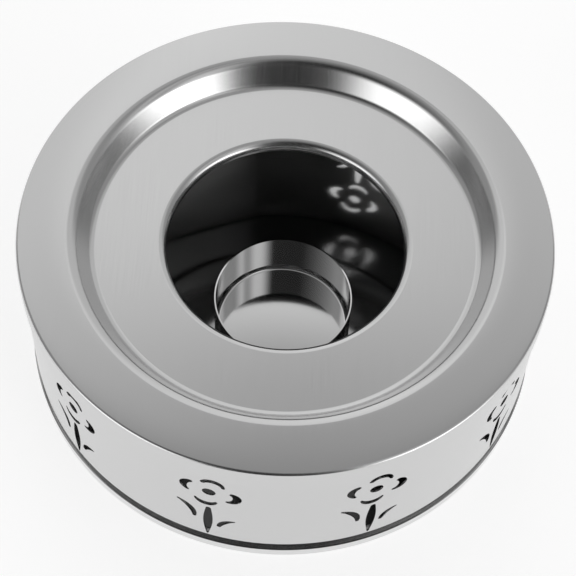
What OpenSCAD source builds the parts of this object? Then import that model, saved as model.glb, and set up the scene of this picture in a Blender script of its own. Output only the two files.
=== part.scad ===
// Teapot warmer: a pressed steel drum that a tea light stands in.
// All sizes are in millimetres. The origin is at the middle of the foot, +Z is up, and the
// front is towards -Y. Angles round the drum start at the front and grow towards +X.

/* [Body] */
// Outer diameter, over the skirt of the top plate
outer_d = 150; // [130:1:200]
// Overall height, from the foot ring to the outer flat of the top plate
body_h = 55; // [45:0.5:90]
// Thickness of the steel sheet in the top plate, the side band and the base tray
sheet = 0.5; // [0.3:0.05:0.7]

/* [Top plate] */
// Radius of the bend from the top plate into its skirt
rim_bend_r = 3; // [1.5:0.25:5]
// Height of the top plate's edge, from the outer flat to the skirt's lower edge
skirt_h = 9; // [6:0.5:9]
// Width of the outer flat, between the rim's bend and the step
flat_w = 10; // [6:0.25:14]
// Width of the curved step between the seat and the outer flat
step_w = 9; // [7:0.25:10]
// Depth of the seat below the outer flat
step_h = 7.1; // [3:0.1:8]
// Diameter of the heat opening, inside its collar
opening_d = 67.2; // [50:0.2:80]
// Radius of the bend from the seat into the collar
collar_bend_r = 2.3; // [1:0.1:3]
// Depth of the collar below the seat
collar_h = 3; // [3:0.1:6]
// Clearance between the side band and the top plate that slips over it
lid_fit = 0.2; // [0.1:0.05:0.4]

/* [Side band] */
// How far the neck stands in from the side band's wall
neck_in = 1.4; // [1.1:0.1:2]
// Radius of the bend from the wall into the shoulder above the neck
shoulder_bend_r = 0.8; // [0.75:0.05:1]
// Height of the dark reveal between the tray's rim and the shoulder
reveal_h = 2.5; // [1:0.1:4]
// Length of the lap where the two ends of the strip are welded
lap_len = 33.8; // [10:0.2:45]
// Angle of the strip's inner end round the drum
lap_angle = 189; // [0:1:359]
// Length of the joggle that moves the strip in behind its other end
joggle_len = 4; // [3:0.2:6]
// Gap between the strip's outer end and the joggle
lap_gap = 0.4; // [0.2:0.1:1]
// Clearance between the two layers of the lap
layer_fit = 0.05; // [0.03:0.01:0.1]
// How far the inner layer bows in between its ends, because a strip's end stays flatter than the drum
layer_bow = 1.2; // [0:0.1:2]
// How far the inner layer's corners are cut back at its top and above the shoulder
layer_short = 0.5; // [0.2:0.1:1]

/* [Flowers] */
// Distance between two flowers, along the band's outer face
flower_pitch = 45.5; // [30:0.5:80]
// Distance from the strip's inner end to its first flower, along the band's outer face
first_flower = 68.2; // [50:0.1:90]
// Gap between the flowers and the skirt's lower edge above them
flower_top_gap = 2.2; // [1:0.1:8]
// Gap between the tips of the stems and the bend of the shoulder below them
flower_low_gap = 0.63; // [0.3:0.01:8]

/* [Base tray] */
// Height of the tray's upright rim above the foot
tray_rim_h = 4.1; // [2.5:0.1:8]
// Radius of the bend from the tray's floor into its rim
tray_bend_r = 0.9; // [0.8:0.05:1.2]
// Gap between the tray's rim and the neck that stands in it
reveal_w = 1.35; // [1:0.05:3]
// Rise of the tray's centre panel above the gutter round it
panel_rise = 1; // [0.7:0.1:2]
// Width of the step up to the centre panel
panel_step_w = 1.5; // [1.5:0.1:3]
// Clearance between the centre panel's step and the neck round it
panel_fit = 0.4; // [0.2:0.1:1]

/* [Candle cup] */
// Outer diameter of the cup, which takes a tea light of 38 to 39 mm
cup_d = 40.8; // [40:0.2:60]
// Height of the cup
cup_h = 16.1; // [10:0.1:25]
// Thickness of the cup's sheet
cup_sheet = 0.4; // [0.3:0.05:0.6]
// Radius of the bend round the foot of the cup
cup_bend_r = 1.5; // [1:0.1:3]

/* [Hidden] */

satin_steel = [0.76, 0.76, 0.76];
bright_steel = [0.62, 0.62, 0.62];

// Facets of a full turn round the drum, straight stretches in a bend and along half a petal
$fn = 240;
bend_steps = 8;
petal_steps = 6;
tip_steps = 3;
layer_steps = 32;

// Top plate: radii are at the upper face
outer_r = outer_d / 2;
rim_in_r = outer_r - rim_bend_r;
skirt_z = body_h - skirt_h;
seat_z = body_h - step_h;
seat_r = rim_in_r - flat_w - step_w;
step_turn = 2 * atan(step_h / step_w);
step_bend_r = step_w / (2 * sin(step_turn));
opening_r = opening_d / 2;
collar_bend_x = opening_r + collar_bend_r;

// Side band: it fills the skirt but for the clearance, and its top edge ends just under the rim's bend
band_r = outer_r - sheet - lid_fit;
rim_inside_r = rim_bend_r - sheet;
band_top_z = body_h - rim_bend_r + sqrt(lid_fit * (2 * rim_inside_r - lid_fit)) - lid_fit;
neck_r = band_r - neck_in;
shoulder_z = tray_rim_h + reveal_h;
neck_bend_r = neck_in - shoulder_bend_r;
shoulder_bend_x = band_r - shoulder_bend_r;

// Lap: angles along the strip's outer face. The joggle is a little thinner where it enters
// the wall of the full turn, so that it ends inside it.
degrees_per_mm = 180 / (PI * band_r);
outer_end = lap_angle + lap_len * degrees_per_mm;
joggle_start = outer_end + lap_gap * degrees_per_mm;
joggle_end = joggle_start + joggle_len * degrees_per_mm;
bridge_reach = lap_gap * degrees_per_mm;
layer_end = joggle_end + bridge_reach;
thinning = sheet / 10;
wall_low_z = shoulder_z + shoulder_bend_r;

// Base tray: the neck stands in the gutter between the rim and the centre panel
tray_r = neck_r + reveal_w + sheet;
gutter_r = neck_r - 2 * sheet - panel_fit;
panel_r = gutter_r - panel_step_w;
panel_z = panel_rise + sheet;
panel_turn = 2 * atan(panel_rise / panel_step_w);
panel_bend_r = panel_step_w / (2 * sin(panel_turn));

// Candle cup
cup_r = cup_d / 2;

// Flower, seen from outside and measured in [x, z] from the dot in its middle. Each petal and
// leaf follows an arc: its centre, its radius, the angles of its two ends, and its half width
// at the first end, in the middle and at the second end.
dot_r = 1.9;
petals = [
    [[0.9, 3.85], 3.1, 7, 147, 0.5, 0.95, 0.7],
    [[-4.1, 0.6], 3.15, 112, 230, 0.75, 1.1, 0.55],
    [[5.15, -1.25], 2.65, -91, 61, 0.55, 1.25, 0.75],
    [[-0.9, -4.5], 3.15, -161, -28, 0.4, 1.05, 0.5],
];
leaves = [
    [[-12.25, -17.45], 7.85, -4, 66, 0.55, 1, 0.4],
    [[8.7, -22.4], 6.2, 106, 168, 0.3, 0.85, 0.65],
];
stem_top = [-0.25, -10.65];
stem_tip = [-0.72, -27.6];
stem_widths = [0.75, 1.35, 0.27];
motif_top = petals[0][0][1] + petals[0][1] + petals[0][5];
motif_low = stem_tip[1] - stem_widths[2];
flower_low_z = wall_low_z + flower_low_gap;
motif_scale = (skirt_z - flower_top_gap - flower_low_z) / (motif_top - motif_low);
flower_z = flower_low_z - motif_scale * motif_low;

// As many flowers as go round, the last one at least half a pitch before the lap
pitch_angle = flower_pitch * degrees_per_mm;
first_angle = lap_angle + first_flower * degrees_per_mm;
flower_count = floor((lap_angle + 360 - first_angle) / pitch_angle + 0.5);
punch_depth = 6;

function along(angle) = [cos(angle), sin(angle)];

// Points of a bend, from one direction to another; a bend that follows on leaves out its first
function bend(centre, radius, from, to, first = 0) =
    [for (i = [first : bend_steps]) centre + radius * along(from + (to - from) * i / bend_steps)];

function backwards(points) = [for (i = [len(points) - 1 : -1 : 0]) points[i]];

// Top plate in section, at a depth below its upper face: skirt, rim, step, seat and collar
function top_plate_line(depth) = concat(
    [[outer_r - depth, skirt_z]],
    bend([rim_in_r, body_h - rim_bend_r], rim_bend_r - depth, 0, 90),
    bend([seat_r + step_w, body_h - step_bend_r], step_bend_r - depth, 90, 90 + step_turn),
    bend([seat_r, seat_z + step_bend_r], step_bend_r + depth, 270 + step_turn, 270, 1),
    bend([collar_bend_x, seat_z - collar_bend_r], collar_bend_r - depth, 90, 180),
    [[opening_r + depth, seat_z - collar_h]]
);

module top_plate() {
    color(satin_steel)
        rotate_extrude()
            polygon(concat(top_plate_line(0), backwards(top_plate_line(sheet))));
}

// Side band in section, at a depth below its outer face: straight wall, and a foot with the
// shoulder turned in under the wall and the neck that stands in the tray
function band_foot_line(depth) = concat(
    bend([shoulder_bend_x, wall_low_z], shoulder_bend_r - depth, 0, -90),
    bend([shoulder_bend_x, shoulder_z - neck_bend_r], neck_bend_r + depth, 90, 180, 1),
    [[neck_r - depth, sheet]]
);
function band_line(depth) = concat([[band_r - depth, band_top_z]], band_foot_line(depth));

// Turn of the strip from the joggle round to its outer end
module turn() {
    rotate(joggle_end - 90)
        rotate_extrude(angle = 360 + outer_end - joggle_end)
            polygon(concat(band_line(0), backwards(band_line(sheet))));
}

// Foot under the joggle, a little thinner where it enters the turn on both sides
module foot_bridge() {
    rotate(outer_end - bridge_reach - 90)
        rotate_extrude(angle = joggle_end - outer_end + 2 * bridge_reach)
            polygon(concat(band_foot_line(thinning), backwards(band_foot_line(sheet - thinning))));
}

// Inner layer of the lap in plan: it runs behind the outer end, bowed in by half a sine, and
// then swings out by a cosine
function bow(angle) =
    layer_bow * sin(180 * min(1, (angle - lap_angle) / (joggle_start - lap_angle)));
function swing(angle) = min(1, max(0, (angle - joggle_start) / (joggle_end - joggle_start)));
function layer_point(angle, side) =
    let (t = swing(angle))
    let (outer = band_r - bow(angle) - (sheet + layer_fit) * (1 + cos(180 * t)) / 2 - thinning * t)
    (outer - side * (sheet - 2 * thinning * t)) * along(angle - 90);
function layer_side(side) =
    [for (i = [0 : layer_steps]) layer_point(lap_angle + (layer_end - lap_angle) * i / layer_steps, side)];

module inner_layer() {
    translate([0, 0, wall_low_z + layer_short])
        linear_extrude(band_top_z - wall_low_z - 2 * layer_short)
            polygon(concat(layer_side(0), backwards(layer_side(1))));
}

// Half width at a share t of the length, between a first end, a middle and a second end
function half_width(t, widths) =
    widths[0] + (widths[2] - widths[0]) * t + (widths[1] - (widths[0] + widths[2]) / 2) * sin(180 * t);

// Round end of a petal, which turns by half a turn from a direction
function tip(centre, radius, from) =
    [for (i = [1 : tip_steps - 1]) centre + radius * along(from + 180 * i / tip_steps)];

// Outline of a petal or leaf
module petal(centre, radius, from, to, widths) {
    side = function(way) [for (i = [0 : petal_steps])
        let (t = i / petal_steps)
        centre + (radius + way * half_width(t, widths)) * along(from + (to - from) * t)];
    polygon(concat(
        side(1),
        tip(centre + radius * along(to), widths[2], to),
        backwards(side(-1)),
        tip(centre + radius * along(from), widths[0], from + 180)
    ));
}

// Outline of the stem, along a straight line from its top to its tip
module stem() {
    run = stem_tip - stem_top;
    heading = atan2(run[1], run[0]);
    side = function(way) [for (i = [0 : petal_steps])
        let (t = i / petal_steps)
        stem_top + run * t + way * half_width(t, stem_widths) * along(heading + 90)];
    polygon(concat(
        side(-1),
        tip(stem_tip, stem_widths[2], heading - 90),
        backwards(side(1)),
        tip(stem_top, stem_widths[0], heading + 90)
    ));
}

module flower() {
    circle(dot_r, $fn = 48);
    for (p = concat(petals, leaves))
        petal(p[0], p[1], p[2], p[3], [p[4], p[5], p[6]]);
    stem();
}

// Punch for one flower, driven through the wall from outside
module flower_punch(angle) {
    rotate(angle)
        translate([0, punch_depth / 2 - band_r, flower_z])
            rotate([90, 0, 0])
                linear_extrude(punch_depth)
                    scale(motif_scale)
                        flower();
}

module side_band() {
    color(satin_steel) {
        difference() {
            turn();
            for (i = [0 : flower_count - 1])
                flower_punch(first_angle + i * pitch_angle);
        }
        inner_layer();
        foot_bridge();
    }
}

// Base tray in section, at a depth below its upper face: rim, gutter and raised centre panel
function base_tray_line(depth) = concat(
    [[tray_r - sheet + depth, tray_rim_h]],
    bend([tray_r - tray_bend_r, tray_bend_r], tray_bend_r - sheet + depth, 360, 270),
    bend([gutter_r, sheet + panel_bend_r], panel_bend_r + depth, 270, 270 - panel_turn),
    bend([panel_r, panel_z - panel_bend_r], panel_bend_r - depth, 90 - panel_turn, 90, 1),
    [[0, panel_z - depth]]
);

module base_tray() {
    color(bright_steel)
        rotate_extrude()
            polygon(concat(base_tray_line(0), backwards(base_tray_line(sheet))));
}

// Candle cup in section, at a depth inside its outer face: a drawn cup on the centre panel
function candle_cup_line(depth) = concat(
    [[cup_r - depth, cup_h]],
    bend([cup_r - cup_bend_r, cup_bend_r], cup_bend_r - depth, 360, 270),
    [[0, depth]]
);

module candle_cup() {
    color(bright_steel)
        translate([0, 0, panel_z])
            rotate_extrude()
                polygon(concat(candle_cup_line(0), backwards(candle_cup_line(cup_sheet))));
}

top_plate();
side_band();
base_tray();
candle_cup();
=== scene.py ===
"""Teapot warmer in pressed and rolled stainless steel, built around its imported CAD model."""
import math

import bpy
import numpy as np
from mathutils import Matrix, Vector
from mathutils.geometry import delaunay_2d_cdt


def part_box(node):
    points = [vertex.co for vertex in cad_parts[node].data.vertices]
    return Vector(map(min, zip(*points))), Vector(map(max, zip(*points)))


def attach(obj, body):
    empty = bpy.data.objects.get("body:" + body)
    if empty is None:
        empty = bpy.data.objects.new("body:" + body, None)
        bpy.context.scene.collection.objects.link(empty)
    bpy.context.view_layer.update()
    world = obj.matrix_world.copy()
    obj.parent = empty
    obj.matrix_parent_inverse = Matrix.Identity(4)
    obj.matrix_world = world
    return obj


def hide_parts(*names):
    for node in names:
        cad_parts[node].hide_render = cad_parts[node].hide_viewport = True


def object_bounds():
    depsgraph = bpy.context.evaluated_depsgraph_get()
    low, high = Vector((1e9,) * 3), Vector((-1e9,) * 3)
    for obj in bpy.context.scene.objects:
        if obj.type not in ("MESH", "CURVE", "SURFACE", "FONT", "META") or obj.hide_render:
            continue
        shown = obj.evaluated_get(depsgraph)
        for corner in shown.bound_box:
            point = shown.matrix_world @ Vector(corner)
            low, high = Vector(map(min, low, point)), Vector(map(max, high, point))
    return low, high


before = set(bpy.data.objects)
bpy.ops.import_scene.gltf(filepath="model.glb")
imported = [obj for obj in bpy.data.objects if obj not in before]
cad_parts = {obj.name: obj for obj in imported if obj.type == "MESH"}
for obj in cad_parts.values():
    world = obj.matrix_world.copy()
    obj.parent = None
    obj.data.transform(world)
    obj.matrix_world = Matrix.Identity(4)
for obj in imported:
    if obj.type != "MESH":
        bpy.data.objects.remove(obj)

bl_info = {
    "name": "Teapot warmer",
    "version": (1, 0, 0),
    "blender": (4, 5, 0),
    "location": "View3D > Sidebar > Warmer",
    "description": "Builds a pressed steel teapot warmer and a plain studio round it",
    "category": "Object",
}

MM = 0.001
BODY = "root"
GRAIN = "Grain"
CAD_LOW, CAD_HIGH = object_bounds()
BAND_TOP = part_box("side_band")[1].z
TRAY_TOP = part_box("base_tray")[1].z
CUP_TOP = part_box("candle_cup")[1].z

# Straight stretches of a bend in section, and faces round the drum
BEND_STEPS = 16
TURN_STEPS = 360

# Points closer than this are one point, and a radius below it is on the axis
TOUCHING = 1e-7


def linear(hex_colour):
    """Linear RGB of an sRGB hex colour: c / 12.92 below 0.04045, else ((c + 0.055) / 1.055) ^ 2.4."""
    channels = [int(hex_colour[i:i + 2], 16) / 255 for i in (1, 3, 5)]
    return [c / 12.92 if c <= 0.04045 else ((c + 0.055) / 1.055) ** 2.4 for c in channels]


def length(name, description, default):
    """A length property, in metres."""
    return bpy.props.FloatProperty(name=name, description=description, default=default,
                                   unit="LENGTH", precision=4, min=0.0)


def colour(name, description, hex_colour):
    """A colour property with an sRGB hex default."""
    return bpy.props.FloatVectorProperty(name=name, description=description, size=3,
                                         default=linear(hex_colour), subtype="COLOR", min=0.0, max=1.0)


class WarmerSizes(bpy.types.PropertyGroup):
    """Sizes of the warmer; the overall ones come from the frame."""

    outer_radius: length("Outer radius", "Radius over the top plate's skirt", CAD_HIGH.x)
    height: length("Height", "From the foot to the outer flat", CAD_HIGH.z)
    sheet: length("Sheet", "Thickness of the steel sheet", 0.5 * MM)
    rim_bend: length("Rim bend", "Bend from the top plate into its skirt", 1.0 * MM)
    rim_slope: bpy.props.FloatProperty(
        name="Rim slope", description="Slope that the crowned outer flat reaches at the rim bend",
        default=math.radians(9), unit="ROTATION")
    skirt_height: length("Skirt height", "From the outer flat to the skirt's lower edge", 9 * MM)
    seat_radius: length("Seat radius", "Radius of the flat in the recess", 53.4 * MM)
    step_width: length("Step width", "Width of the step round the seat", 7.9 * MM)
    step_depth: length("Step depth", "Depth of the seat below the outer flat", 7.1 * MM)
    step_slope: bpy.props.FloatProperty(
        name="Step slope", description="Slope of the straight middle of the step",
        default=math.radians(58), unit="ROTATION")
    step_crest: bpy.props.FloatProperty(
        name="Step crest", description="Share of the step's two bend radii that its crest takes",
        default=0.62, min=0.05, max=0.95, subtype="FACTOR")
    opening_radius: length("Opening radius", "Radius inside the heat opening's collar", 33.6 * MM)
    collar_bend: length("Collar bend", "Bend from the seat into the collar", 2.3 * MM)
    collar_depth: length("Collar depth", "Depth of the collar below the seat", 3 * MM)
    band_radius: length("Band radius", "Outer radius of the side band", 74.3 * MM)
    band_top: length("Band top", "Height of the side band's top edge", BAND_TOP)
    shoulder_height: length("Shoulder height", "Height of the band's lower edge", 6.6 * MM)
    shoulder_bend: length("Shoulder bend", "Bend from the wall into the shoulder", 0.8 * MM)
    neck_in: length("Neck", "How far the neck stands in from the wall", 1.4 * MM)
    lap_length: length("Lap length", "Overlap of the strip's two ends", 33.8 * MM)
    lap_bow: length("Lap bow", "How far the lap's inner layer bows in between its ends", 1.2 * MM)
    lap_gap: length("Lap gap", "Gap between the outer end and the joggle", 0.4 * MM)
    joggle_length: length("Joggle length", "Length over which the strip moves in", 4 * MM)
    layer_fit: length("Layer clearance", "Clearance between the lap's two layers", 0.05 * MM)
    layer_short: length("Corner cut", "How far the inner layer is cut back", 0.5 * MM)
    lap_angle: bpy.props.FloatProperty(
        name="Lap angle", description="Angle of the strip's inner end, from the front towards +X",
        default=math.radians(189), unit="ROTATION")
    flower_pitch: length("Flower pitch", "Distance between flowers along the band", 45.5 * MM)
    first_flower: length("First flower", "Distance from the strip's inner end to the first flower",
                         68.2 * MM)
    flower_height: length("Flower height", "Height of a flower's dot above the foot", 35.9 * MM)
    tray_radius: length("Tray radius", "Outer radius of the base tray", 74.75 * MM)
    tray_height: length("Tray height", "Height of the tray's rim", TRAY_TOP)
    tray_bend: length("Tray bend", "Bend from the tray's floor into its rim", 0.9 * MM)
    panel_rise: length("Panel rise", "Rise of the tray's centre panel", 1 * MM)
    panel_step: length("Panel step", "Width of the step up to the panel", 1.5 * MM)
    panel_fit: length("Panel clearance", "Clearance between the panel's step and the neck", 0.4 * MM)
    cup_radius: length("Cup radius", "Outer radius of the candle cup", 20.4 * MM)
    cup_top: length("Cup rim", "Height of the cup's rim above the foot", CUP_TOP)
    cup_sheet: length("Cup sheet", "Thickness of the cup's sheet", 0.4 * MM)
    cup_bend: length("Cup bend", "Bend round the foot of the cup", 1.5 * MM)


class WarmerColours(bpy.types.PropertyGroup):
    """Colours of the steel and of the studio."""

    satin: colour("Satin steel", "Reflected colour of the satin sheet", "#CFCFCF")
    bright: colour("Bright steel", "Reflected colour of the bright sheet", "#DCDCDC")
    # The plain tint is a painted shade: a greyer copy of the bright steel's colour that darkens the inside
    # of the drum
    plain: colour("Plain steel", "Reflected colour of the sheet inside the drum", "#B8B8B8")
    floor: colour("Floor", "Colour of the studio floor", "#BEBEBE")


def ways(degrees):
    """Unit vectors (cos a, sin a) of angles in degrees."""
    radians = np.radians(degrees)
    return np.stack((np.cos(radians), np.sin(radians)), -1)


def bend(centre, radius, start, end, side=1.0):
    """Arc of a section: centre + radius (cos a, sin a), with a from start to end in degrees.
    Its normals are side (cos a, sin a)."""
    way = ways(np.linspace(start, end, BEND_STEPS + 1))
    return np.array(centre) + radius * way, side * way


def straight(start, end):
    """Straight stretch of a section. Its normal lies to the right of the way it runs."""
    points = np.array([start, end], float)
    run = (points[1] - points[0]) / np.linalg.norm(points[1] - points[0])
    normal = np.array([run[1], -run[0]])
    return points, np.array([normal, normal])


def joined(arcs):
    """The arcs of a section with straight stretches between the ends that don't meet."""
    line = [arcs[0]]
    for arc in arcs[1:]:
        gap = np.linalg.norm(arc[0][0] - line[-1][0][-1])
        if gap > TOUCHING:
            line.append(straight(line[-1][0][-1], arc[0][0]))
        line.append(arc)
    return line


def sheet_section(line, thickness):
    """Section of a sheet, from line(depth), which gives a face at a depth: a cut edge, the outer
    face, another cut edge and the inner face backwards. A sheet that reaches the axis has one cut
    edge only, and its section starts and ends on the axis. Each stretch ends with its material:
    0 on the outer face and the edges, 1 inside."""
    outer = [(*stretch, 0) for stretch in line(0.0)]
    inner = [(points[::-1], -normals[::-1], 1) for points, normals in reversed(line(thickness))]
    first_edge = [(*straight(inner[-1][0][-1], outer[0][0][0]), 0)]
    if on_axis(outer[-1][0][-1]):
        return inner + first_edge + outer
    last_edge = [(*straight(outer[-1][0][-1], inner[0][0][0]), 0)]
    return first_edge + outer + last_edge + inner


def on_axis(points):
    """Which points (r, z) lie on the drum's axis."""
    return points[..., 0] < TOUCHING


def new_piece(name, points, groups, materials):
    """Makes a mesh object from its points, groups of (faces, corner normals, corner grain,
    material of each face) and its materials, and puts it on the frame. It leaves out the points
    that no face uses."""
    corners = np.concatenate([group[0].ravel() for group in groups])
    used, corners = np.unique(corners, return_inverse=True)
    points = points[used]
    sizes = np.concatenate([np.full(len(group[0]), group[0].shape[1]) for group in groups])
    normals = np.concatenate([group[1].reshape(-1, 3) for group in groups])
    finish = np.concatenate([group[3] for group in groups])
    mesh = bpy.data.meshes.new(name)
    mesh.vertices.add(len(points))
    mesh.vertices.foreach_set("co", points.astype(np.float32).ravel())
    mesh.loops.add(len(corners))
    mesh.loops.foreach_set("vertex_index", corners.astype(np.int32))
    mesh.polygons.add(len(sizes))
    mesh.polygons.foreach_set("loop_start", (np.cumsum(sizes) - sizes).astype(np.int32))
    mesh.polygons.foreach_set("use_smooth", np.ones(len(sizes), bool))
    mesh.polygons.foreach_set("material_index", finish.astype(np.int32))
    layer = mesh.uv_layers.new(name=GRAIN)
    grains = np.concatenate([group[2].reshape(-1, 2) for group in groups])
    mesh.update(calc_edges=True)
    layer.data.foreach_set("uv", grains.astype(np.float32).ravel())
    mesh.normals_split_custom_set(normals / np.linalg.norm(normals, axis=1)[:, None])
    for material in materials:
        mesh.materials.append(material)
    piece = bpy.data.objects.new(name, mesh)
    bpy.context.scene.collection.objects.link(piece)
    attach(piece, BODY)
    return piece


def spun(pairs, around):
    """Pairs (r, z) turned to each direction (cos a, sin a): (r cos a, r sin a, z)."""
    level = pairs[:, None, :1] * around
    upright = np.broadcast_to(pairs[:, None, 1:], (*level.shape[:2], 1))
    return np.concatenate((level, upright), 2)


def turned(name, section, materials):
    """Turns a section (r, z) round the axis by a full turn of angles a: (r cos a, r sin a, z).
    The Grain map is the flat blank, (b sin a, b cos a) with the radius b of the point in it."""
    ends_on_axis = on_axis(section[-1][0][-1])
    points = np.concatenate([p[:-1] for p, _, _ in section] + [section[-1][0][-1:]] * ends_on_axis)
    starts = np.concatenate([n[:-1] for _, n, _ in section])
    ends = np.concatenate([n[1:] for _, n, _ in section])
    finish = np.concatenate([np.full(len(p) - 1, f) for p, _, f in section])
    rows, runs = len(points), len(starts)
    around = ways(np.arange(TURN_STEPS) * 360 / TURN_STEPS)
    poles = on_axis(points)
    blank = blank_radius(points)

    grid = np.arange(rows * TURN_STEPS).reshape(rows, TURN_STEPS)
    grid[poles] = grid[poles][:, :1]
    here, there = np.arange(runs), (np.arange(runs) + 1) % rows
    column, beside = np.arange(TURN_STEPS), (np.arange(TURN_STEPS) + 1) % TURN_STEPS

    def corners(row, normal, col):
        """Vertex, normal and grain of one corner of every face."""
        way = around[col]
        return grid[row][:, col], spun(normal, way), blank[row][:, None, None] * way[None, :, ::-1]

    order = [corners(here, starts, column), corners(here, starts, beside),
             corners(there, ends, beside), corners(there, ends, column)]
    faces, normals, grains = (np.stack([corner[i] for corner in order], 2) for i in range(3))
    groups = []
    full = ~poles[here] & ~poles[there]
    for pick, keep in ((full, [0, 1, 2, 3]), (poles[here], [0, 2, 3]), (poles[there], [0, 1, 2])):
        if pick.any():
            count = len(keep)
            groups.append((faces[pick][:, :, keep].reshape(-1, count),
                           normals[pick][:, :, keep].reshape(-1, count, 3),
                           grains[pick][:, :, keep].reshape(-1, count, 2),
                           np.repeat(finish[pick], TURN_STEPS)))
    return new_piece(name, spun(points, around).reshape(-1, 3), groups, materials)


def blank_radius(points):
    """Radius in the flat blank of each point of a section. In a closed section it is the radius of
    the point nearest to the axis plus the length of the section from there. A section that ends
    on the axis is measured from the nearer of its ends."""
    steps = np.linalg.norm(np.diff(points, axis=0), axis=1)
    travelled = np.concatenate(([0.0], np.cumsum(steps)))
    if on_axis(points[-1]):
        return np.minimum(travelled, travelled[-1] - travelled)
    nearest = int(np.argmin(points[:, 0]))
    return points[nearest, 0] + np.abs(travelled - travelled[nearest])


def top_plate_line(size):
    """Faces of the top plate: skirt, rim bend, outer flat, step, seat and collar. The outer flat
    is crowned: an arc that leaves the step level and reaches the rim slope at the rim bend. The
    step is straight between the bends of its crest and its foot. The sum of their two radii is
    (width tan s - depth) / (sin s tan s + cos s - 1), with the step's slope s."""
    slope = math.degrees(size.rim_slope)
    flat = size.outer_radius - size.rim_bend - size.seat_radius - size.step_width
    crown_radius = size.rim_bend + flat / math.sin(size.rim_slope)
    crown = (size.seat_radius + size.step_width, size.height - crown_radius)
    rim = (size.outer_radius - size.rim_bend,
           crown[1] + (crown_radius - size.rim_bend) * math.cos(size.rim_slope))
    turn = math.degrees(size.step_slope)
    sine, cosine, tangent = (f(size.step_slope) for f in (math.sin, math.cos, math.tan))
    radii = (size.step_width * tangent - size.step_depth) / (sine * tangent + cosine - 1)
    crest, foot = radii * size.step_crest, radii * (1 - size.step_crest)
    seat = size.height - size.step_depth
    high = (size.seat_radius + size.step_width, size.height - crest)
    low = (size.seat_radius, seat + foot)
    collar = (size.opening_radius + size.collar_bend, seat - size.collar_bend)

    def line(depth):
        skirt = straight((size.outer_radius - depth, size.height - size.skirt_height),
                         (size.outer_radius - depth, rim[1]))
        edge = straight((size.opening_radius + depth, collar[1]),
                        (size.opening_radius + depth, seat - size.collar_depth))
        return joined([
            skirt,
            bend(rim, size.rim_bend - depth, 0, 90 - slope),
            bend(crown, crown_radius - depth, 90 - slope, 90),
            bend(high, crest - depth, 90, 90 + turn),
            bend(low, foot + depth, 270 + turn, 270, -1.0),
            bend(collar, size.collar_bend - depth, 90, 180),
            edge,
        ])
    return line


def base_tray_line(size):
    """Upper faces of the base tray: rim, gutter, step and centre panel, down to the axis."""
    neck = size.band_radius - size.neck_in
    gutter = neck - 2 * size.sheet - size.panel_fit
    panel = gutter - size.panel_step
    top = size.panel_rise + size.sheet
    turn = math.degrees(2 * math.atan2(size.panel_rise, size.panel_step))
    radius = size.panel_step / (2 * math.sin(math.radians(turn)))
    rim = (size.tray_radius - size.tray_bend, size.tray_bend)

    def line(depth):
        inner = size.sheet - depth
        wall = straight((size.tray_radius - inner, size.tray_height), (size.tray_radius - inner, rim[1]))
        centre = straight((panel, top - depth), (0.0, top - depth))
        return joined([
            wall,
            bend(rim, size.tray_bend - inner, 360, 270, -1.0),
            bend((gutter, size.sheet + radius), radius + depth, 270, 270 - turn, -1.0),
            bend((panel, top - radius), radius - depth, 90 - turn, 90),
            centre,
        ])
    return line


def candle_cup_line(size):
    """Inner faces of the candle cup: wall, bend and floor, down to the axis."""
    foot = size.panel_rise + size.sheet
    corner = (size.cup_radius - size.cup_bend, foot + size.cup_bend)

    def line(depth):
        inner = size.cup_sheet - depth
        wall = straight((size.cup_radius - inner, size.cup_top), (size.cup_radius - inner, corner[1]))
        floor = straight((corner[0], foot + inner), (0.0, foot + inner))
        return joined([wall, bend(corner, size.cup_bend - inner, 360, 270, -1.0), floor])
    return line


# The punched flower, seen from outside and in millimetres from the dot in its middle. Each petal
# and leaf: centre, radius, the angles of its ends, and its half widths at one end, in the middle
# and at the other end. The stem runs straight from its top to its tip.
DOT = 1.9
PETALS = (
    ((0.9, 3.85), 3.1, 7, 147, (0.5, 0.95, 0.7)),
    ((-4.1, 0.6), 3.15, 112, 230, (0.75, 1.1, 0.55)),
    ((5.15, -1.25), 2.65, -91, 61, (0.55, 1.25, 0.75)),
    ((-0.9, -4.5), 3.15, -161, -28, (0.4, 1.05, 0.5)),
    ((-12.25, -17.45), 7.85, -4, 66, (0.55, 1.0, 0.4)),
    ((8.7, -22.4), 6.2, 106, 168, (0.3, 0.85, 0.65)),
)
STEM = ((-0.25, -10.65), (-0.72, -27.6), (0.75, 1.35, 0.27))
DOT_POINTS = 40
SIDE_POINTS = 20
TIP_POINTS = 8


def half_width(t, widths):
    """Half width at a share t of a petal: straight from end to end, plus a half sine in between."""
    first, middle, last = widths
    return first + (last - first) * t + (middle - (first + last) / 2) * np.sin(math.pi * t)


def tip(centre, radius, start):
    """Inner points of the half circle that closes a petal."""
    return np.array(centre) + radius * ways(start + np.linspace(0, 180, TIP_POINTS + 1)[1:-1])


def petal(centre, radius, start, end, widths):
    """Outline round the arc from start to end, half_width(t) to each side, with round ends."""
    t = np.linspace(0, 1, SIDE_POINTS)
    spread = half_width(t, widths)[:, None]
    way = ways(start + (end - start) * t)
    middle = np.array(centre)
    return np.concatenate((
        middle + (radius + spread) * way,
        tip(middle + radius * ways(end), widths[2], end),
        (middle + (radius - spread) * way)[::-1],
        tip(middle + radius * ways(start), widths[0], start + 180),
    ))


def stem(top, foot, widths):
    """Outline round the straight line from top to foot, half_width(t) to each side."""
    t = np.linspace(0, 1, SIDE_POINTS)
    top, foot = np.array(top), np.array(foot)
    heading = math.degrees(math.atan2(*(foot - top)[::-1]))
    spread = half_width(t, widths)[:, None] * ways(heading - 90)
    along = top + (foot - top) * t[:, None]
    return np.concatenate((
        along + spread,
        tip(foot, widths[2], heading - 90),
        (along - spread)[::-1],
        tip(top, widths[0], heading + 90),
    ))


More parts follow.
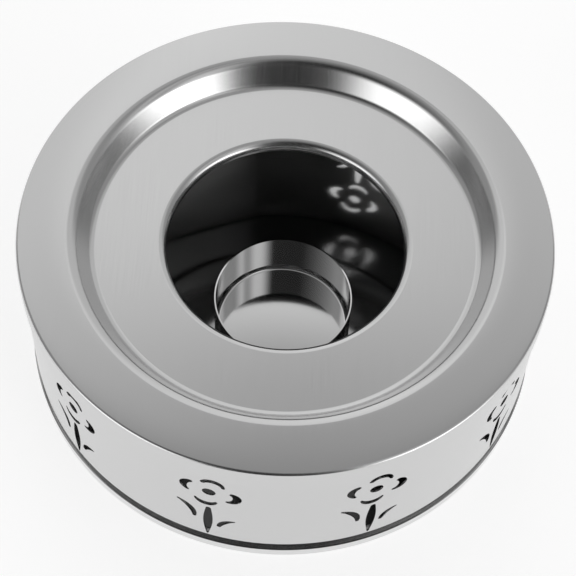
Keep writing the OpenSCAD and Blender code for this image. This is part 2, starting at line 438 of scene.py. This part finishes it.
def flower_outlines():
    """Outlines of the eight openings of one flower, in metres."""
    dot = DOT * ways(np.arange(DOT_POINTS) * 360 / DOT_POINTS)
    outlines = [dot, *(petal(*shape) for shape in PETALS), stem(*STEM)]
    return [outline * MM for outline in outlines]


def divided(points, spacing):
    """The closed outline through points, with its sides divided to the spacing."""
    sides = []
    for start, end in zip(points, np.roll(points, -1, axis=0)):
        count = max(1, int(round(np.linalg.norm(end - start) / spacing)))
        sides.append(start + (end - start) * (np.arange(count) / count)[:, None])
    return np.concatenate(sides)


def inside(points, outline):
    """Which points lie inside an outline: an odd number of its sides crosses the ray to the right."""
    x, y = points[:, :1], points[:, 1:]
    x0, y0 = outline[:, 0], outline[:, 1]
    x1, y1 = np.roll(x0, -1), np.roll(y0, -1)
    crosses = (y0 > y) != (y1 > y)
    rise = np.where(y1 == y0, 1.0, y1 - y0)
    return (crosses & (x < x0 + (y - y0) * (x1 - x0) / rise)).sum(1) % 2 == 1


def clear_of(points, outline, gap):
    """Which points lie further than gap from every point of an outline."""
    apart = np.linalg.norm(points[:, None] - outline[None], axis=2)
    return apart.min(1) > gap


class BandShape:
    """The side band as a flat strip and as rolled. s runs along the strip's outer face from its
    inner end, and v runs down its section from the top edge: wall, shoulder bend, neck bend, neck."""

    # Distances between the inner points, along the strip and down its wall, and the number of
    # rows in a bend and down the neck
    SPACING = 1.3 * MM
    ROW = 1.5 * MM
    BEND_ROWS = 9
    NECK_ROWS = 6

    # Room that the inner points leave along the strip's edges and round an opening
    EDGE_ROOM = 0.15 * MM
    OPENING_ROOM = 0.35 * MM

    # Half the length of strip in which all of a flower's openings lie
    FLOWER_REACH = 14 * MM

    def __init__(self, size):
        self.size = size
        self.radius = size.band_radius
        self.wall = size.band_top - size.shoulder_height - size.shoulder_bend
        self.shoulder_arc = size.shoulder_bend * math.pi / 2
        self.neck_bend = size.neck_in - size.shoulder_bend
        self.neck_arc = self.neck_bend * math.pi / 2
        neck = size.shoulder_height - self.neck_bend - size.sheet
        self.depth = self.wall + self.shoulder_arc + self.neck_arc + neck
        self.turn = 2 * math.pi * self.radius
        self.joggle_start = size.lap_length + size.lap_gap
        self.joggle_end = self.joggle_start + size.joggle_length
        self.end = self.turn + size.lap_length
        hairline = 0.1 * size.lap_gap
        self.foot_end = self.turn + self.joggle_end - hairline

    def outline(self):
        """The flat strip: full height from the joggle to the outer end, a foot that runs on below
        it, and an inner layer with its corners cut back."""
        cut = self.size.layer_short
        return np.array([
            (0, cut), (self.joggle_end, cut), (self.joggle_end, 0), (self.end, 0),
            (self.end, self.wall), (self.foot_end, self.wall), (self.foot_end, self.depth),
            (self.joggle_end, self.depth), (self.joggle_end, self.wall - cut), (0, self.wall - cut),
        ])

    def openings(self):
        """Outlines of all the flowers' openings on the flat strip."""
        size = self.size
        count = int((self.turn - size.first_flower) / size.flower_pitch + 0.5)
        centres = size.first_flower + np.arange(count) * size.flower_pitch
        row = size.band_top - size.flower_height
        shapes = flower_outlines()
        return [[np.stack((centre + shape[:, 0], row - shape[:, 1]), 1) for shape in shapes]
                for centre in centres]

    def rows(self):
        """Heights of the inner rows of points: even in the wall, close together in the bends."""
        count = int(self.wall / self.ROW)
        wall = np.linspace(0, self.wall, count + 1)
        shoulder = self.wall + self.shoulder_arc * np.linspace(0, 1, self.BEND_ROWS)
        neck = shoulder[-1] + self.neck_arc * np.linspace(0, 1, self.BEND_ROWS)
        foot = np.linspace(neck[-1], self.depth, self.NECK_ROWS)
        return np.unique(np.concatenate((wall, shoulder, neck, foot)))

    def section(self, v):
        """Radius, height, and normal (r, z) of the outer face at v."""
        size = self.size
        a = np.clip((v - self.wall) / self.shoulder_arc, 0, 1) * math.pi / 2
        b = np.clip((v - self.wall - self.shoulder_arc) / self.neck_arc, 0, 1) * math.pi / 2
        on_wall = np.minimum(v, self.wall)
        on_neck = np.maximum(v - self.wall - self.shoulder_arc - self.neck_arc, 0)
        r = self.radius - size.shoulder_bend * (1 - np.cos(a)) - self.neck_bend * np.sin(b)
        bends = size.shoulder_bend * np.sin(a) + self.neck_bend * (1 - np.cos(b))
        z = size.band_top - on_wall - bends - on_neck
        return r, z, np.cos(a - b), -np.sin(a - b)

    def rolled(self, flat, depth):
        """Points and normals of the rolled strip at a depth below its outer face. The strip turns
        round the axis at s / radius. At the lap its radius is less by a cosine swing, and by half
        a sine between its inner end and the joggle."""
        s, v = flat[:, 0], flat[:, 1]
        share = np.clip((s - self.joggle_start) / (self.joggle_end - self.joggle_start), 0, 1)
        layers = self.size.sheet + self.size.layer_fit
        in_by = layers * (1 + np.cos(math.pi * share)) / 2
        slope = layers * math.pi * np.sin(math.pi * share) / (2 * (self.joggle_end - self.joggle_start))
        along = np.minimum(s / self.joggle_start, 1)
        in_by += self.size.lap_bow * np.sin(math.pi * along)
        slope -= self.size.lap_bow * np.cos(math.pi * along) * math.pi / self.joggle_start * (along < 1)
        angle = self.size.lap_angle - math.pi / 2 + s / self.radius
        out = np.stack((np.cos(angle), np.sin(angle), 0 * s), 1)
        forward = np.stack((-np.sin(angle), np.cos(angle), 0 * s), 1)
        r, z, nr, nz = self.section(v)
        normal = nr[:, None] * (out - slope[:, None] * forward)
        normal[:, 2] = nz
        normal /= np.linalg.norm(normal, axis=1)[:, None]
        points = (r - in_by)[:, None] * out
        points[:, 2] = z
        return points - depth * normal, normal


# What the triangulation gives back, and the distance within which it merges points
ALL_TRIANGLES = 0
MERGING = 1e-9


def band_triangles(shape):
    """Flat points and triangles of the strip: a constrained triangulation of its outline, its
    openings and rows of points between them, less the triangles in openings and outside."""
    outline = divided(shape.outline(), shape.SPACING)
    openings = shape.openings()
    columns = np.arange(shape.SPACING / 2, shape.foot_end, shape.SPACING)
    grid = np.stack(np.meshgrid(columns, shape.rows()), -1).reshape(-1, 2)
    keep = inside(grid, shape.outline())
    keep &= clear_of_sides(grid, shape.outline(), shape.EDGE_ROOM)
    for flower in openings:
        ring = np.concatenate(flower)
        close = (np.abs(grid[:, 0] - ring[:, 0].mean()) < shape.FLOWER_REACH) & keep
        spots = grid[close]
        free = clear_of(spots, ring, shape.OPENING_ROOM)
        for opening in flower:
            free &= ~inside(spots, opening)
        keep[np.flatnonzero(close)[~free]] = False
    loops = [outline] + [opening for flower in openings for opening in flower]
    points = np.concatenate(loops + [grid[keep]])
    edges, first = [], 0
    for loop in loops:
        ids = first + np.arange(len(loop))
        edges.append(np.stack((ids, np.roll(ids, -1)), 1))
        first += len(loop)
    found = delaunay_2d_cdt(points.tolist(), np.concatenate(edges).tolist(), [], ALL_TRIANGLES, MERGING)
    flat, triangles = np.array(found[0]), np.array(found[2])
    middles = flat[triangles].mean(1)
    keep = inside(middles, shape.outline())
    for flower in openings:
        centre = np.concatenate(flower)[:, 0].mean()
        close = np.flatnonzero(np.abs(middles[:, 0] - centre) < shape.FLOWER_REACH)
        for opening in flower:
            keep[close[inside(middles[close], opening)]] = False
    return flat, triangles[keep]


def clear_of_sides(points, outline, gap):
    """Which points lie further than gap from every side of an outline with upright and level sides."""
    free = np.ones(len(points), bool)
    for (x0, y0), (x1, y1) in zip(outline, np.roll(outline, -1, axis=0)):
        dx = np.maximum(0, np.maximum(min(x0, x1) - points[:, 0], points[:, 0] - max(x0, x1)))
        dy = np.maximum(0, np.maximum(min(y0, y1) - points[:, 1], points[:, 1] - max(y0, y1)))
        free &= np.hypot(dx, dy) > gap
    return free


def rolled_band(name, size, materials):
    """The punched strip rolled round the drum: outer and inner face from the same flat triangles,
    and a wall of quads along every cut edge."""
    shape = BandShape(size)
    flat, triangles = band_triangles(shape)
    a, b, c = (flat[triangles[:, i]] for i in range(3))
    turned_left = (b[:, 0] - a[:, 0]) * (c[:, 1] - a[:, 1]) - (b[:, 1] - a[:, 1]) * (c[:, 0] - a[:, 0]) > 0
    triangles[turned_left] = triangles[turned_left][:, ::-1]
    outer, outward = shape.rolled(flat, 0.0)
    inner, _ = shape.rolled(flat, size.sheet)
    count = len(flat)
    sides = np.concatenate([triangles[:, [0, 1]], triangles[:, [1, 2]], triangles[:, [2, 0]]])
    key = np.sort(sides, axis=1)
    _, index, times = np.unique(key, axis=0, return_index=True, return_counts=True)
    cut = sides[index[times == 1]]
    walls = np.stack((cut[:, 0], cut[:, 0] + count, cut[:, 1] + count, cut[:, 1]), 1)
    points = np.concatenate((outer, inner))
    along = points[cut[:, 1]] - points[cut[:, 0]]
    facing = np.cross(along, outward[cut[:, 0]])
    grain = np.concatenate((flat, flat))
    back = triangles[:, ::-1]
    groups = [
        (triangles, outward[triangles], flat[triangles], np.zeros(len(triangles))),
        (back + count, -outward[back], flat[back], np.ones(len(back))),
        (walls, np.repeat(facing[:, None], 4, 1), grain[walls], np.zeros(len(walls))),
    ]
    return new_piece(name, points, groups, materials)


def add(tree, kind, settings=None, inputs=None):
    """Adds a node with its settings. Each input, by name or number, takes a socket or a constant."""
    made = tree.nodes.new(kind)
    for key, value in (settings or {}).items():
        setattr(made, key, value)
    for key, value in (inputs or {}).items():
        if isinstance(value, bpy.types.NodeSocket):
            tree.links.new(value, made.inputs[key])
        else:
            made.inputs[key].default_value = value
    return made


# Size of one streak of the steel's grain, and the part of the noise that the streaks use
STREAK_LENGTH = 25 * MM
STREAK_WIDTH = 0.4 * MM
STREAK_NOISE = (0.3, 0.7)

# Turn of the grain's smear from the way of the Grain map's U, as a share of a full turn
ACROSS_GRAIN = 0.25


def steel(name, tint, roughness, anisotropy, streak):
    """Stainless sheet with a grain along U of the Grain map. The grain spreads reflections across
    it, and its streaks vary the gloss a little. Real grinding marks are finer than the streaks,
    too fine to show, so they are drawn 0.4 mm wide."""
    made = bpy.data.materials.get(name)
    if made:
        return made
    material = bpy.data.materials.new(name)
    material.use_nodes = True
    tree = material.node_tree
    tree.nodes.clear()
    grain = add(tree, "ShaderNodeUVMap", {"uv_map": GRAIN})
    stretch = add(tree, "ShaderNodeMapping", inputs={
        "Vector": grain.outputs["UV"], "Scale": (1 / STREAK_LENGTH, 1 / STREAK_WIDTH, 1.0)})
    noise = add(tree, "ShaderNodeTexNoise", inputs={
        "Vector": stretch.outputs["Vector"], "Scale": 1.0, "Detail": 3.0, "Roughness": 0.6})
    spread = add(tree, "ShaderNodeMapRange", inputs={
        "Value": noise.outputs["Fac"], "From Min": STREAK_NOISE[0], "From Max": STREAK_NOISE[1],
        "To Min": roughness * (1 - streak), "To Max": roughness * (1 + streak)})
    tangent = add(tree, "ShaderNodeTangent", {"direction_type": "UV_MAP", "uv_map": GRAIN})
    shader = add(tree, "ShaderNodeBsdfPrincipled", inputs={
        "Base Color": (*tint, 1.0), "Metallic": 1.0, "Roughness": spread.outputs["Result"],
        "Anisotropic": anisotropy, "Anisotropic Rotation": ACROSS_GRAIN,
        "Tangent": tangent.outputs["Tangent"]})
    add(tree, "ShaderNodeOutputMaterial", inputs={"Surface": shader.outputs["BSDF"]})
    return material


def satin_steel(colours):
    """Satin stainless sheet, ground with a fine belt on its outer side: soft, smeared reflections."""
    return steel("satin_stainless", colours.satin, roughness=0.2, anisotropy=0.65, streak=0.12)


def mill_steel(colours):
    """Back of the satin sheet, as rolled at the mill: reflections smear right across the strip."""
    return steel("mill_stainless", colours.satin, roughness=0.3, anisotropy=0.97, streak=0.1)


def bright_steel(colours):
    """Bright annealed stainless sheet: a clear mirror, slightly soft across its rolling grain."""
    return steel("bright_stainless", colours.bright, roughness=0.08, anisotropy=0.6, streak=0.1)


def shaded_bright_steel(colours):
    """Bright sheet in a greyer tint than the cup, with the same gloss: a painted shade that keeps the
    inside of the drum dark.
    """
    return steel("shaded_bright_stainless", colours.plain, roughness=0.08, anisotropy=0.6, streak=0.1)


class BuildTopPlate(bpy.types.Operator):
    """Presses the top plate: skirt, rim, recessed seat and collared heat opening"""

    bl_idname = "warmer.top_plate"
    bl_label = "Top plate"

    def execute(self, context):
        size = context.scene.warmer_sizes
        colours = context.scene.warmer_colours
        section = sheet_section(top_plate_line(size), size.sheet)
        # The underside of the top takes the plain tint, a painted shade that darkens the inside of the
        # drum
        top = turned("top", section, [satin_steel(colours), shaded_bright_steel(colours)])
        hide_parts("top_plate")
        return {"FINISHED"}


class BuildSideBand(bpy.types.Operator):
    """Punches the strip with its flowers and rolls it into the drum's wall"""

    bl_idname = "warmer.side_band"
    bl_label = "Side band"

    def execute(self, context):
        size = context.scene.warmer_sizes
        colours = context.scene.warmer_colours
        band = rolled_band("band", size, [satin_steel(colours), mill_steel(colours)])
        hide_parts("side_band")
        return {"FINISHED"}


class BuildBaseTray(bpy.types.Operator):
    """Presses the base tray: upright rim, gutter and raised centre panel"""

    bl_idname = "warmer.base_tray"
    bl_label = "Base tray"

    def execute(self, context):
        size = context.scene.warmer_sizes
        colours = context.scene.warmer_colours
        section = sheet_section(base_tray_line(size), size.sheet)
        # The tray's upper side takes the plain tint, a painted shade that darkens the inside of the drum;
        # its underside is bright steel
        tray = turned("tray", section, [shaded_bright_steel(colours), bright_steel(colours)])
        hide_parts("base_tray")
        return {"FINISHED"}


class BuildCandleCup(bpy.types.Operator):
    """Draws the candle cup that stands in the middle of the tray"""

    bl_idname = "warmer.candle_cup"
    bl_label = "Candle cup"

    def execute(self, context):
        size = context.scene.warmer_sizes
        colours = context.scene.warmer_colours
        section = sheet_section(candle_cup_line(size), size.cup_sheet)
        cup = turned("cup", section, [bright_steel(colours)] * 2)
        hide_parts("candle_cup")
        return {"FINISHED"}


# Camera: where the photograph was taken from, in metres, and its small roll
CAMERA_PLACE = Vector((0.001312, -0.261585, 0.456705))
CAMERA_AIM = Vector((0.001312, 0.0, 0.02278))
CAMERA_ROLL = math.radians(2.99)
CAMERA_LENS = 107.79


def photo_camera():
    """Camera at the photograph's place, turned about its own line of sight by the roll."""
    data = bpy.data.cameras.new("camera")
    data.lens = CAMERA_LENS
    data.sensor_width = 36.0
    data.clip_start, data.clip_end = 0.01, 20.0
    forward = (CAMERA_AIM - CAMERA_PLACE).normalized()
    right = Vector((1, 0, 0))
    up = right.cross(forward)
    x = math.cos(CAMERA_ROLL) * right + math.sin(CAMERA_ROLL) * up
    y = math.cos(CAMERA_ROLL) * up - math.sin(CAMERA_ROLL) * right
    camera = bpy.data.objects.new("camera", data)
    turn = Matrix((x, y, -forward)).transposed().to_4x4()
    camera.matrix_world = Matrix.Translation(CAMERA_PLACE) @ turn
    bpy.context.scene.collection.objects.link(camera)
    bpy.context.scene.camera = camera


# Soft lights of the studio, as seen from the object: the direction of each one's middle from the
# front towards +X and its half width, the height of its upper edge, how soft its sides and that
# edge are, all in degrees, and its radiance
LIGHTS = (
    ("left low softbox", -51, 22, 25, 28, 44, 2.16),
    ("left wall", -148, 23, 68, 15, 37, 0.43),
    ("back card", 181, 12, 60, 19, 4, 0.54),
    ("right softbox", 46, 15, 67, 24, 36, 0.86),
    ("right low light", 54, 20, 27, 22, 14, 1.79),
    ("right wall", 150, 21, 65, 15, 50, 0.31),
    ("right card", 79, 7, 88, 26, 9, 0.55),
)

# Radiance of the room at the front, what the ceiling adds to it towards the back, and how far
# back (+Y, as a share of the direction) that starts and ends
ROOM = 0.028
CEILING = 0.337
CEILING_START = -0.467
CEILING_END = 0.1


def studio_light(tree):
    """Radiance of the room in each direction: dark towards the front, where the camera stands,
    growing evenly brighter over the object towards the back, plus the lights. A light is its
    radiance times one smooth step off its middle, round the object, and one over its upper edge."""
    way = add(tree, "ShaderNodeTexCoord").outputs["Generated"]
    parts = add(tree, "ShaderNodeSeparateXYZ", inputs={"Vector": way}).outputs
    rise = add(tree, "ShaderNodeMath", {"operation": "ARCSINE"}, {0: parts["Z"]})
    level = add(tree, "ShaderNodeVectorMath", {"operation": "MULTIPLY"}, {0: way, 1: (1.0, 1.0, 0.0)})
    heading = add(tree, "ShaderNodeVectorMath", {"operation": "NORMALIZE"}, {0: level.outputs["Vector"]})
    ceiling = add(tree, "ShaderNodeMapRange", inputs={
        "Value": parts["Y"], "From Min": CEILING_START, "From Max": CEILING_END,
        "To Min": ROOM, "To Max": ROOM + CEILING})
    total = ceiling.outputs["Result"]
    for _, middle, half, high, side_soft, edge_soft, radiance in LIGHTS:
        turn = math.radians(middle)
        aim = add(tree, "ShaderNodeVectorMath", {"operation": "DOT_PRODUCT"}, {
            0: heading.outputs["Vector"], 1: (math.sin(turn), -math.cos(turn), 0.0)})
        off = add(tree, "ShaderNodeMath", {"operation": "ARCCOSINE"}, {0: aim.outputs["Value"]})
        across = add(tree, "ShaderNodeMapRange", {"interpolation_type": "SMOOTHSTEP"}, {
            "Value": off.outputs[0],
            "From Min": math.radians(half - side_soft / 2),
            "From Max": math.radians(half + side_soft / 2),
            "To Min": radiance, "To Max": 0.0})
        below = add(tree, "ShaderNodeMapRange", {"interpolation_type": "SMOOTHSTEP"}, {
            "Value": rise.outputs[0],
            "From Min": math.radians(high - edge_soft / 2),
            "From Max": math.radians(high + edge_soft / 2),
            "To Min": 1.0, "To Max": 0.0})
        light = add(tree, "ShaderNodeMath", {"operation": "MULTIPLY"}, {
            0: across.outputs["Result"], 1: below.outputs["Result"]})
        total = add(tree, "ShaderNodeMath", {"operation": "ADD"}, {
            0: total, 1: light.outputs[0]}).outputs[0]
    return total


WHITE = (1.0, 1.0, 1.0, 1.0)


def studio_world():
    """The lights for every ray but the camera's, which sees plain white."""
    world = bpy.data.worlds.new("studio")
    bpy.context.scene.world = world
    world.use_nodes = True
    tree = world.node_tree
    tree.nodes.clear()
    seen = add(tree, "ShaderNodeLightPath").outputs["Is Camera Ray"]
    light = add(tree, "ShaderNodeBackground", inputs={"Color": WHITE, "Strength": studio_light(tree)})
    white = add(tree, "ShaderNodeBackground", inputs={"Color": WHITE, "Strength": 1.0})
    mix = add(tree, "ShaderNodeMixShader", inputs={
        "Fac": seen, 1: light.outputs["Background"], 2: white.outputs["Background"]})
    add(tree, "ShaderNodeOutputWorld", inputs={"Surface": mix.outputs["Shader"]})


# Half the floor's side, in metres, and the light that it adds of itself for the camera and the
# metal. With what the lights put on it, the floor comes out white.
FLOOR_REACH = 3.0
FLOOR_GLOW = 0.72


def studio_floor(colours):
    """Matt white floor, which the camera and the metal see as white but for a soft shadow."""
    material = bpy.data.materials.new("studio_floor")
    material.use_nodes = True
    tree = material.node_tree
    tree.nodes.clear()
    path = add(tree, "ShaderNodeLightPath")
    seen = add(tree, "ShaderNodeMath", {"operation": "MAXIMUM"}, {
        0: path.outputs["Is Camera Ray"], 1: path.outputs["Is Glossy Ray"]})
    glow = add(tree, "ShaderNodeMath", {"operation": "MULTIPLY"}, {0: seen.outputs[0], 1: FLOOR_GLOW})
    matt = add(tree, "ShaderNodeBsdfDiffuse", inputs={"Color": (*colours.floor, 1.0)})
    lit = add(tree, "ShaderNodeEmission", inputs={"Color": WHITE, "Strength": glow.outputs[0]})
    both = add(tree, "ShaderNodeAddShader", inputs={0: matt.outputs["BSDF"], 1: lit.outputs["Emission"]})
    add(tree, "ShaderNodeOutputMaterial", inputs={"Surface": both.outputs["Shader"]})
    mesh = bpy.data.meshes.new("floor")
    low, high = -FLOOR_REACH, FLOOR_REACH
    mesh.from_pydata([(low, low, 0), (high, low, 0), (high, high, 0), (low, high, 0)], [], [(0, 1, 2, 3)])
    mesh.materials.append(material)
    floor = bpy.data.objects.new("floor", mesh)
    bpy.context.scene.collection.objects.link(floor)


class BuildStage(bpy.types.Operator):
    """Sets up the floor, the light and the camera"""

    bl_idname = "warmer.stage"
    bl_label = "Studio"

    def execute(self, context):
        context.scene.view_settings.view_transform = "Standard"
        photo_camera()
        studio_world()
        studio_floor(context.scene.warmer_colours)
        return {"FINISHED"}


class WarmerPanel(bpy.types.Panel):
    """Lists the warmer's pieces, sizes and colours"""

    bl_idname = "VIEW3D_PT_warmer"
    bl_label = "Teapot warmer"
    bl_space_type = "VIEW_3D"
    bl_region_type = "UI"
    bl_category = "Warmer"

    def draw(self, context):
        for operator in OPERATORS:
            self.layout.operator(operator.bl_idname)
        for group in (context.scene.warmer_sizes, context.scene.warmer_colours):
            column = self.layout.column()
            for name in group.__annotations__:
                column.prop(group, name)


OPERATORS = (BuildTopPlate, BuildSideBand, BuildBaseTray, BuildCandleCup, BuildStage)
CLASSES = (WarmerSizes, WarmerColours, *OPERATORS, WarmerPanel)


def register():
    for made in CLASSES:
        bpy.utils.register_class(made)
    bpy.types.Scene.warmer_sizes = bpy.props.PointerProperty(type=WarmerSizes)
    bpy.types.Scene.warmer_colours = bpy.props.PointerProperty(type=WarmerColours)


def unregister():
    del bpy.types.Scene.warmer_colours
    del bpy.types.Scene.warmer_sizes
    for made in reversed(CLASSES):
        bpy.utils.unregister_class(made)


def main():
    register()
    for step in ("top_plate", "side_band", "base_tray", "candle_cup", "stage"):
        getattr(bpy.ops.warmer, step)()


if __name__ == "__main__":
    main()
